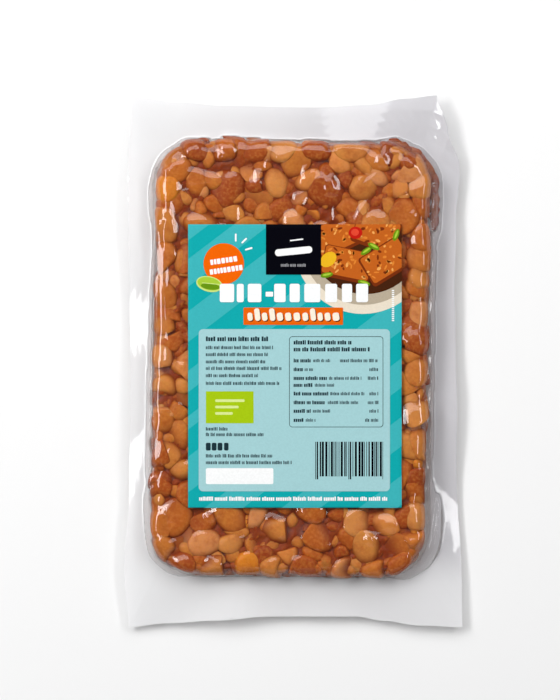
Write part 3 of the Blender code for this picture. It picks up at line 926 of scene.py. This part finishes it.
def build_films(food_tree, margin_tree):
    """The two sheets of the bag, each clinging to its side of the block."""
    sheets = []
    for name, places, front in (("film_front", bag_places(FRONT_SQUARES), True),
                                ("film_back", seal_places(BACK_SQUARES), False)):
        sign = 1 if front else -1
        margin = spread_into_gaps(heights_on(margin_tree, places, front))
        margin = margin * sign - MARGIN_HALF_THICK + SEAL_HALF_GAP
        corner = np.linalg.norm(places - np.array(CURL_CENTRE), axis=-1)
        margin = margin - CURL_SETTLED * np.exp(-(corner / CURL_REACH) ** 2) * sign
        food = heights_on(food_tree, places, front)
        food = np.where(np.isnan(food), NOWHERE, food * sign + FILM_CLEARANCE)
        ground = np.maximum(margin, food)
        crests, fold_distance = fold_heights(places)
        if front:
            ground = np.maximum.reduce([ground, crests, pleat_heights(places)])
        sheet = cling(ground, places, fold_distance if front else np.ones(margin.shape))
        gap = np.where(food > NOWHERE, sheet - food, OPEN_GAP)
        if front:
            sheet = np.minimum(sheet + crease_heights(places), FILM_HIGHEST)
        heights = sheet * sign
        if not front:
            heights = np.maximum(heights, FLOOR_CLEARANCE)
        points = np.column_stack([places.reshape(-1, 2), heights.ravel()])
        faces = grid_faces(*places.shape[:2], not front)
        sealed = np.clip(1 - (sheet - margin) / SEAL_FADE, 0, 1)
        sheets.append(mesh_from_arrays(name, points, faces,
                                       {"gap": gap.ravel() / MM, "sealed": sealed.ravel()}))
    return sheets


# Materials

def new_material(name):
    """A material with only its Principled shader and output."""
    material = bpy.data.materials.new(name)
    material.use_nodes = True
    return material, material.node_tree, material.node_tree.nodes["Principled BSDF"]


def connect(tree, node, inputs):
    """Set or link some inputs of a node."""
    for key, value in inputs.items():
        if isinstance(value, bpy.types.NodeSocket):
            tree.links.new(value, node.inputs[key])
        else:
            node.inputs[key].default_value = value


def add_node(tree, kind, inputs, **settings):
    """A node with some settings and some of its inputs set or linked."""
    made = tree.nodes.new(kind)
    for key, value in settings.items():
        setattr(made, key, value)
    connect(tree, made, inputs)
    return made


def object_place(tree):
    """Where a point lies in its object."""
    return add_node(tree, "ShaderNodeTexCoord", {}).outputs["Object"]


def attribute(tree, name):
    """A value kept at the points of a mesh."""
    return add_node(tree, "ShaderNodeAttribute", {}, attribute_name=name).outputs["Fac"]


def noise(tree, place, scale, detail=2.0, **inputs):
    """A noise value, 0 to 1."""
    return add_node(tree, "ShaderNodeTexNoise", {"Vector": place, "Scale": scale,
                                                 "Detail": detail, **inputs}).outputs["Fac"]


def calculate(tree, operation, *values):
    """A sum, or another operation, on some values."""
    made = add_node(tree, "ShaderNodeMath", dict(enumerate(values)), operation=operation)
    return made.outputs[0]


def bump(tree, height, strength, distance, **inputs):
    """A normal that is tilted by a height."""
    return add_node(tree, "ShaderNodeBump", {"Height": height, "Strength": strength,
                                             "Distance": distance, **inputs}).outputs["Normal"]


def blend(tree, factor, first, second):
    """Two shader nodes mixed."""
    return add_node(tree, "ShaderNodeMixShader", {0: factor, 1: first.outputs[0],
                                                  2: second.outputs[0]})


def ramp(tree, factor, stops):
    """A colour ramp through (place, colour) stops."""
    made = add_node(tree, "ShaderNodeValToRGB", {"Fac": factor})
    elements = made.color_ramp.elements
    elements[0].position, elements[0].color = stops[0]
    elements[1].position, elements[1].color = stops[-1]
    for place, colour in stops[1:-1]:
        elements.new(place).color = colour
    return made.outputs["Color"]


def mix_colour(tree, factor, first, second):
    """Two colours mixed."""
    return add_node(tree, "ShaderNodeMix", {0: factor, 6: first, 7: second},
                    data_type="RGBA").outputs[2]


def map_range(tree, value, low, high, to_low=0.0, to_high=1.0):
    """A value eased from one range to another, and held at its ends."""
    made = add_node(tree, "ShaderNodeMapRange",
                    {"Value": value, "From Min": low, "From Max": high, "To Min": to_low,
                     "To Max": to_high}, interpolation_type="SMOOTHSTEP")
    return made.outputs["Result"]


def bean_material():
    """Moist smoked beans, tan to orange-brown and red-brown, with painted shade in hollows and on
    the sides.
    """
    material, tree, shader = new_material("beans")
    place = object_place(tree)
    colour = ramp(tree, attribute(tree, "tone"),
                  [(stop, srgb(*shade)) for stop, shade in BEAN_COLOURS])
    patches = noise(tree, place, 210.0, 4.0, Roughness=0.6)
    specks = noise(tree, place, 900.0, 3.0)
    height = add_node(tree, "ShaderNodeSeparateXYZ", {0: place}).outputs["Z"]
    off_middle = calculate(tree, "ABSOLUTE",
                           calculate(tree, "SUBTRACT", height, BLOCK_HEIGHT / 2))
    for value, low, high, low_share, high_share, over in (
            (patches, 0.42, 0.75, 0.0, 0.55, PATCH_COLOUR),
            (specks, 0.35, 0.8, 0.0, 0.35, SPECK_COLOUR),
            # Painted shade: darker the deeper a point sinks below the block's form
            (attribute(tree, "sunk"), 0.2, 2.2, 0.0, 0.88, SUNK_PAINTED_SHADE),
            # Painted shade on the block's sides, strongest around the middle of its height
            (off_middle, 0.0030, 0.0062, 0.6, 0.0, SIDE_PAINTED_SHADE)):
        share = map_range(tree, value, low, high, low_share, high_share)
        colour = mix_colour(tree, share, colour, srgb(*over))
    coarse = bump(tree, patches, 0.35, 0.0006)
    connect(tree, shader, {
        "Base Color": colour, "Roughness": map_range(tree, patches, 0.3, 0.7, 0.34, 0.55),
        "Subsurface Weight": 0.35, "Subsurface Radius": (1.0, 0.35, 0.12),
        "Subsurface Scale": 0.0016, "Specular IOR Level": 0.15,
        "Normal": bump(tree, specks, 0.25, 0.0002, Normal=coarse)})
    return material


def film_material():
    """Thin clear film: see-through, with a glossy face, milky where it stands off or is sealed."""
    material, tree, shader = new_material("film")
    tree.nodes.remove(shader)
    place = object_place(tree)
    normal = bump(tree, noise(tree, place, 260.0, 2.0, Distortion=0.4), 0.10, 0.0003)
    clear = add_node(tree, "ShaderNodeBsdfTransparent", {"Color": (0.985, 0.985, 0.985, 1)})
    axes = add_node(tree, "ShaderNodeSeparateXYZ", {0: place})
    # Painted shade and painted light on the milk: darker towards the right, and lighter near the
    # bottom edge where the block's shadow falls
    milk_and_painted_light = mix_colour(tree, map_range(tree, axes.outputs["X"], -0.055, 0.055),
                       (0.89, 0.89, 0.90, 1), (0.66, 0.65, 0.68, 1))
    milk_and_painted_light = mix_colour(tree, map_range(tree, axes.outputs["Y"], -0.086, -0.068, 0.75, 0.0), milk_and_painted_light,
                       (0.96, 0.96, 0.97, 1))
    milk = add_node(tree, "ShaderNodeBsdfDiffuse", {"Color": milk_and_painted_light, "Normal": normal})
    through = add_node(tree, "ShaderNodeBsdfTranslucent", {"Color": milk_and_painted_light, "Normal": normal})
    haze = calculate(tree, "MAXIMUM",
                     map_range(tree, attribute(tree, "gap"), 1.2, 4.0, 0.0, 0.10),
                     map_range(tree, attribute(tree, "sealed"), 0.6, 1.0, 0.0, 0.92))
    veil = blend(tree, haze, clear, blend(tree, 0.12, milk, through))
    gloss = add_node(tree, "ShaderNodeBsdfGlossy", {"Color": (1, 1, 1, 1), "Roughness": 0.07,
                                                    "Normal": normal})
    facing = add_node(tree, "ShaderNodeLayerWeight", {"Normal": normal}).outputs["Facing"]
    shine = calculate(tree, "MULTIPLY_ADD", calculate(tree, "POWER", facing, 5.0), 0.94, 0.05)
    face = blend(tree, shine, veil, gloss)
    tree.links.new(face.outputs[0], tree.nodes["Material Output"].inputs["Surface"])
    return material


def ink(name, colour):
    """One flat ink on the satin stock, with a faint grain."""
    material, tree, shader = new_material(name)
    place = object_place(tree)
    grain = map_range(tree, noise(tree, place, 1500.0), 0.3, 0.7)
    full, darker = [tuple(share * INK_STRENGTH * part for part in srgb(*colour)[:3]) + (1.0,)
                    for share in (1.0, 0.95)]
    connect(tree, shader, {"Base Color": mix_colour(tree, grain, full, darker),
                           "Roughness": 0.40, "Specular IOR Level": 0.04})
    return material


# Label

def label_height(x, y):
    """The height of the label's face at places from its middle: flat, bent down at the edges."""
    inside = np.minimum(LABEL_WIDTH / 2 - np.abs(x), LABEL_LENGTH / 2 - np.abs(y))
    return LABEL_TOP - LABEL_EDGE_DROP * np.clip(1 - inside / LABEL_EDGE_BAND, 0, 1) ** 2


def build_label():
    """The label's sheet."""
    bends = np.array((0.0,) + PRINT_CUTS) * MM
    x = np.concatenate([bends - LABEL_WIDTH / 2, LABEL_WIDTH / 2 - bends[::-1]])
    y = np.concatenate([bends - LABEL_LENGTH / 2, LABEL_LENGTH / 2 - bends[::-1]])
    grid_x, grid_y = np.meshgrid(x, y)
    height = label_height(grid_x, grid_y)
    points = np.column_stack([grid_x.ravel() + LABEL_CENTRE[0], grid_y.ravel() + LABEL_CENTRE[1],
                              height.ravel()])
    label = mesh_from_arrays("label_sheet", points, grid_faces(*height.shape, False))
    thick = label.modifiers.new("stock", "SOLIDIFY")
    thick.thickness = LABEL_THICK
    thick.offset = -1.0
    return label


def turned(x, y, across, down, turn):
    """The place that lies that far across and down from a middle, turned about it."""
    return (x + across * math.cos(turn) + down * math.sin(turn),
            y - across * math.sin(turn) + down * math.cos(turn))


class Print:
    """Flat printed shapes on the label, in millimetres from its top left corner."""

    def __init__(self, rng):
        self.inks = {}
        self.rng = rng

    def add(self, colour, outline, layer):
        """A filled outline in one ink, on a layer."""
        self.inks.setdefault(colour, []).append((outline, layer))

    def bar(self, colour, left, top, right, bottom, layer=2, corner=0.0, turn=0.0):
        """A rectangle, with round corners and turned about its middle if wanted."""
        middle = ((left + right) / 2, (top + bottom) / 2)
        half = ((right - left) / 2 - corner, (bottom - top) / 2 - corner)
        outline = []
        for quarter, (x, y) in enumerate(((1, 1), (-1, 1), (-1, -1), (1, -1))):
            for step in range(5 if corner else 1):
                angle = math.pi / 2 * (quarter + step / 4)
                outline.append((x * half[0] + corner * math.cos(angle),
                                y * half[1] + corner * math.sin(angle)))
        self.add(colour, [turned(*middle, x, y, turn) for x, y in outline], layer)

    def oval(self, colour, x, y, half_width, half_height, layer=2, turn=0.0, steps=28):
        """An oval."""
        outline = []
        for step in range(steps):
            angle = 2 * math.pi * step / steps
            outline.append(turned(x, y, half_width * math.cos(angle),
                                  half_height * math.sin(angle), turn))
        self.add(colour, outline, layer)

    def words(self, colour, left, middle, right, size, bold=False):
        """A row of small upright strokes in word-like groups, too small to read."""
        spread, stroke = BOLD_STROKES if bold else PLAIN_STROKES
        x = left
        while x < right - 0.3:
            for _ in range(self.rng.randint(3, 9)):
                width = size * self.rng.uniform(*LETTER_WIDTH) * spread
                if x + width > right:
                    return
                rise = size * (TALL_RISE if self.rng.random() < TALL_SHARE else 0.0)
                self.bar(colour, x, middle - size / 2 - rise, x + width * stroke,
                         middle + size / 2, 3)
                x += width
            x += size * WORD_GAP

    def build(self, materials):
        """One piece with all the shapes, cut fine enough to follow the label's bent edges."""
        bm = bmesh.new()
        names = list(self.inks)
        for number, name in enumerate(names):
            for outline, layer in self.inks[name]:
                verts = [bm.verts.new((x, -y, layer)) for x, y in outline]
                face = bm.faces.new(verts)
                face.material_index = number
        bm.normal_update()
        flipped = [face for face in bm.faces if face.normal.z < 0]
        bmesh.ops.reverse_faces(bm, faces=flipped)
        bmesh.ops.triangulate(bm, faces=bm.faces)
        for axis, extent in ((Vector((1, 0, 0)), LABEL_WIDTH / MM),
                             (Vector((0, 1, 0)), -LABEL_LENGTH / MM)):
            for inset in PRINT_CUTS:
                inward = math.copysign(inset, extent)
                for cut in (inward, extent - inward):
                    bmesh.ops.bisect_plane(bm, geom=bm.verts[:] + bm.edges[:] + bm.faces[:],
                                           plane_co=axis * cut, plane_no=axis, dist=1e-6)
        bmesh.ops.triangulate(bm, faces=bm.faces)
        for vert in bm.verts:
            x = vert.co.x * MM - LABEL_WIDTH / 2
            y = vert.co.y * MM + LABEL_LENGTH / 2
            z = float(label_height(x, y)) + PRINT_LIFT + PRINT_LAYER * vert.co.z
            vert.co = (LABEL_CENTRE[0] + x, LABEL_CENTRE[1] + y, z)
        mesh = bpy.data.meshes.new("label_print")
        bm.to_mesh(mesh)
        bm.free()
        for name in names:
            mesh.materials.append(materials[name])
        return add_object("label_print", mesh)


def clipped(outline, left, top, right, bottom):
    """A convex or gently bent outline cut off at the sides of a box."""
    for axis, limit, keep in ((0, left, 1), (0, right, -1), (1, top, 1), (1, bottom, -1)):
        result = []
        for start, end in zip(outline, outline[1:] + outline[:1]):
            first = (start[axis] - limit) * keep
            second = (end[axis] - limit) * keep
            if first >= 0:
                result.append(start)
            if (first >= 0) != (second >= 0):
                share = first / (first - second)
                result.append((start[0] + (end[0] - start[0]) * share,
                               start[1] + (end[1] - start[1]) * share))
        outline = result
        if not outline:
            return []
    return outline


def print_stripes(page):
    """Slanting lighter stripes over the label's ground."""
    width = LABEL_WIDTH / MM
    length = LABEL_LENGTH / MM
    for low, high in STRIPES:
        band = [(0, low), (0, high), (width, high - STRIPE_SLOPE * width),
                (width, low - STRIPE_SLOPE * width)]
        band = clipped(band, 0, 0, width, length)
        if band:
            page.add("pale_teal", band, STRIPE_LAYER)


def print_dish(page):
    """A round dish with slices of the food, leaves and fruit, in the top right corner."""
    width = LABEL_WIDTH / MM
    rng = page.rng
    dish = Print(rng)
    dish.oval("cream", 65.5, 8.0, 25.6, 25.6, 1, steps=64)
    dish.oval("plate_shade", 65.8, 7.6, 22.9, 22.6, 2, steps=64)
    dish.oval("gravy", 66.5, 7.0, 20.6, 19.2, 3, steps=48)
    slices = ((55.5, 4.5, 8.6, 6.4, 0.45), (70.5, 3.0, 8.4, 6.2, -0.35),
              (59.5, 15.0, 9.2, 6.0, -0.20), (74.0, 14.0, 8.6, 6.2, 0.55))
    for number, (x, y, half_width, half_height, turn) in enumerate(slices):
        base = 4 + 3 * number
        dish.bar("slice_dark", x - half_width, y - half_height, x + half_width,
                 y + half_height, base, 1.2, turn)
        dish.bar("slice", x - half_width + 0.5, y - half_height + 0.3, x + half_width - 0.3,
                 y + half_height - 1.3, base + 1, 1.0, turn)
        for _ in range(34):
            across = rng.uniform(-0.88, 0.88) * half_width
            down = rng.uniform(-0.82, 0.70) * half_height
            spot = turned(x, y, across, down, turn)
            tone = rng.choice(("crumb", "crumb", "crumb_light", "slice_dark"))
            dish.oval(tone, *spot, rng.uniform(0.5, 1.1), rng.uniform(0.3, 0.6), base + 2,
                      rng.uniform(0, 3.14), 8)
    dish.oval("lemon", 52.6, 13.2, 3.4, 2.5, 17, 0.7, 20)
    dish.oval("tomato", 62.8, 3.2, 2.6, 2.3, 17, 0.0, 20)
    dish.oval("tomato_light", 62.6, 3.0, 1.5, 1.3, 18, 0.0, 16)
    for x, y, turn in ((66.8, 10.0, 0.6), (69.6, 8.3, -0.5), (78.0, 4.0, 1.2), (52.0, 19.0, 0.2),
                       (66.0, 22.0, -0.3)):
        dish.oval("leaf", x, y, 2.4, 1.0, 17, turn, 14)
        dish.oval("leaf_light", x + 0.1, y - 0.2, 1.7, 0.4, 18, turn, 10)
    for colour, shapes in dish.inks.items():
        for outline, layer in shapes:
            inner = clipped(outline, 30.0, 0.0, width, 60.0)
            if len(inner) > 2:
                page.add(colour, inner, DISH_LAYER + layer * DISH_STEP)


def print_label(page):
    """All that is printed on the label: fields of colour, plain signs and unreadable rows."""
    rng = page.rng
    print_stripes(page)
    print_dish(page)
    page.bar("black", 29.2, 0.0, 49.9, 18.9, 2)
    page.bar("white", 38.2, 5.6, 43.2, 6.1, 3, 0.2, 0.12)
    page.bar("white", 32.6, 8.8, 46.6, 11.4, 3, 1.2, 0.10)
    page.words("grey", 34.8, 15.4, 45.0, 1.0)
    page.oval("orange", 13.4, 14.8, 7.6, 7.7, 2, steps=48)
    for left, middle, right in ((8.4, 13.5, 18.8), (8.2, 17.1, 20.4)):
        x = left
        while x < right - 0.8:
            width = rng.uniform(1.1, 1.8)
            rise = (x - 13.4) * math.tan(BADGE_TILT)
            page.bar("white", x, middle - 1.0 - rise, min(x + width * 0.8, right),
                     middle + 1.0 - rise, 3, 0.25, BADGE_TILT)
            x += width
    for start, end in (((17.9, 3.5), (17.9, 6.5)), ((22.0, 5.2), (20.1, 7.1)),
                       ((24.1, 8.8), (21.4, 9.6))):
        turn = math.atan2(start[1] - end[1], end[0] - start[0])
        length = math.hypot(end[0] - start[0], end[1] - start[1]) / 2
        x, y = (start[0] + end[0]) / 2, (start[1] + end[1]) / 2
        page.bar("white", x - length, y - 0.32, x + length, y + 0.32, 3, 0.3, turn)
    page.oval("leaf_rim", 8.0, 22.4, 5.0, 2.9, 3, -0.22, 28)
    page.oval("leaf_light", 8.0, 22.3, 4.5, 2.4, 3.4, -0.22, 28)
    page.oval("leaf", 8.4, 23.3, 3.6, 1.2, 3.6, -0.12, 20)
    page.bar("leaf_rim", 5.2, 22.1, 12.0, 22.4, 3.8, 0.1, -0.10)
    for left, right in ((11.7, 17.5), (18.1, 21.1), (22.2, 27.7), (32.1, 36.8), (37.9, 42.1),
                        (43.4, 49.8), (51.2, 56.1), (57.5, 61.7), (62.8, 67.7)):
        page.bar("white", left + 0.2, 22.3, right - 0.2, 29.2, 3.9, 0.7)
    page.bar("white", 29.1, 25.3, 31.9, 27.1, 3.9, 0.3)
    page.bar("ribbon", 20.8, 31.2, 58.1, 37.7, 2.5, 0.4)
    x = 22.3
    while x < 55.0:
        width = rng.uniform(2.6, 3.6)
        tall = rng.random() < 0.3
        for colour, shift, layer in (("script_shade", 0.35, 3.0), ("script", 0.0, 3.4)):
            page.bar(colour, x + shift, 33.1 - 1.6 * tall + shift, x + width * 0.72 + shift,
                     36.2 + shift, layer, 0.9, 0.12)
        x += width
    page.bar("panel", 4.0, 39.3, 75.7, 100.1, 1.5, 1.6)
    page.words("dark", 6.7, 43.1, 30.2, 1.45, True)
    for middle, right in ((46.3, 32.1), (48.9, 30.6), (51.6, 29.2), (54.1, 35.6), (56.8, 26.5),
                          (59.7, 34.6), (76.8, 15.3), (78.9, 28.8), (86.9, 31.9), (89.4, 39.3)):
        page.words("dark", 6.7, middle, right, 1.05)
    page.bar("green", 6.7, 62.6, 24.6, 74.6, 3)
    for number in range(3):
        page.bar("pale_green", 10.2, 65.6 + 2.4 * number, 21.2 - 2.2 * number,
                 66.6 + 2.4 * number, 3.5, 0.4)
    for left, right in ((6.7, 8.5), (8.9, 10.7), (11.1, 12.9), (13.5, 15.2)):
        page.bar("dark", left, 81.9, right, 84.8, 3, 0.5)
    page.bar("white", 6.7, 91.4, 32.0, 97.4, 3, 0.6)
    page.bar("dark", 37.9, 42.0, 73.2, 76.1, 2.2, 1.2)
    page.bar("panel", 38.12, 42.22, 72.98, 75.88, 2.6, 1.0)
    page.words("dark", 39.6, 44.4, 61.5, 1.3, True)
    page.words("dark", 39.6, 47.0, 68.8, 1.3, True)
    for middle, right, number in ((51.2, 53.7, 57.0), (54.5, 47.3, 68.0), (57.8, 65.5, 67.4),
                                  (60.4, 54.9, None), (63.6, 66.4, 68.0), (66.9, 64.6, 67.4),
                                  (70.1, 53.4, 68.0), (73.5, 48.1, 66.4)):
        page.words("dark", 39.6, middle, 39.6 + (right - 39.6) * 0.5, 1.15, True)
        page.words("dark", 39.9 + (right - 39.6) * 0.5, middle, right, 1.0)
        if number:
            page.words("dark", number, middle, 71.6, 1.05)
    x = 47.7
    while x < 73.1:
        width = rng.choice((0.26, 0.26, 0.52, 0.78))
        guard = x < 48.6 or x > 72.2 or 59.4 < x < 60.8
        page.bar("black", x, 81.5, min(x + width, 73.1), 95.6 if guard else 94.5, 3)
        x += width + rng.choice((0.26, 0.30, 0.52, 0.60))
    page.words("white", 4.2, 103.0, 75.4, 1.25, True)
    for y in np.arange(24.6, 36.4, 0.75):
        page.bar("white", 76.4, float(y), 77.3, float(y) + 0.45, 3)


# Stage

def build_floor():
    """A wide white floor."""
    bm = bmesh.new()
    bmesh.ops.create_grid(bm, x_segments=1, y_segments=1, size=6.0)
    mesh = bpy.data.meshes.new("floor")
    bm.to_mesh(mesh)
    bm.free()
    material, tree, shader = new_material("floor")
    connect(tree, shader, {"Base Color": (0.92, 0.92, 0.92, 1), "Roughness": 0.9})
    mesh.materials.append(material)
    add_object("floor", mesh)


def area_light(name, place, aim, size, power):
    """A rectangular white light at a place, turned towards another."""
    data = bpy.data.lights.new(name, "AREA")
    data.shape = "RECTANGLE"
    data.size, data.size_y = size
    data.energy = power
    light = add_object(name, data)
    light.location = place
    light.rotation_euler = (Vector(aim) - Vector(place)).to_track_quat("-Z", "Y").to_euler()


def build_lights():
    """Soft light from the top left, and two long boxes for streaks of shine."""
    world = bpy.data.worlds.new("studio")
    world.use_nodes = True
    background = world.node_tree.nodes["Background"]
    connect(world.node_tree, background, {"Color": (1, 1, 1, 1), "Strength": WORLD_LIGHT})
    bpy.context.scene.world = world
    for light in LIGHTS:
        area_light(*light)


def build_camera():
    """A long lens straight above, framed as the photograph."""
    data = bpy.data.cameras.new("camera")
    data.sensor_width = SENSOR
    view_height = IMAGE_HEIGHT_PX * PX
    data.lens = SENSOR * (CAMERA_DISTANCE - CAMERA_FOCUS_HEIGHT) / view_height
    camera = add_object("camera", data)
    camera.location = (*photo_place(IMAGE_WIDTH_PX / 2, IMAGE_HEIGHT_PX / 2), CAMERA_DISTANCE)
    bpy.context.scene.camera = camera


def dress(piece, material, node):
    """Give a piece its material, unless it has its own, and hide the solid that it stands for."""
    if material:
        piece.data.materials.append(material)
    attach(piece, "root")
    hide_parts(node)


def ray_tree(pieces):
    """One tree for casting rays on all of some pieces."""
    points = []
    faces = []
    for piece in pieces:
        piece_points, piece_faces = mesh_arrays(piece)
        faces.append(piece_faces + sum(len(other) for other in points))
        points.append(piece_points)
    return BVHTree.FromPolygons(np.vstack(points).tolist(), np.vstack(faces).tolist(),
                                all_triangles=True)


def main():
    bpy.context.scene.view_settings.view_transform = "Standard"
    build_camera()
    build_lights()
    build_floor()
    beans = place_beans()
    bits = place_bits(beans) + fold_crumbs()
    ordered = sorted(beans, key=lambda bean: (bean["broken"], bean["flat"]))
    sizes = np.cumsum([len(bean["ball"][1]) for bean in ordered])
    first, second = np.searchsorted(sizes, (sizes[-1] / 3, sizes[-1] * 2 / 3))
    food = [join_beans("beans_whole", ordered[:first]),
            join_beans("beans_mixed", ordered[first:second]),
            join_beans("beans_broken", ordered[second:]), join_beans("bean_bits", bits),
            build_core()]
    food_tree = ray_tree(food)
    margin_tree = BVHTree.FromObject(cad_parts["clear_bag"],
                                     bpy.context.evaluated_depsgraph_get())
    front, back = build_films(food_tree, margin_tree)
    label = build_label()
    page = Print(random.Random(PRINT_SEED))
    print_label(page)
    inks = {name: ink(f"ink_{name}", colour) for name, colour in INKS.items()}
    printed = page.build(inks)
    shade = bean_material()
    for piece in food:
        dress(piece, shade, "tempeh_cake")
    film = film_material()
    for piece in (front, back):
        dress(piece, film, "clear_bag")
    dress(label, inks["teal"], "label")
    dress(printed, None, "label")


main()
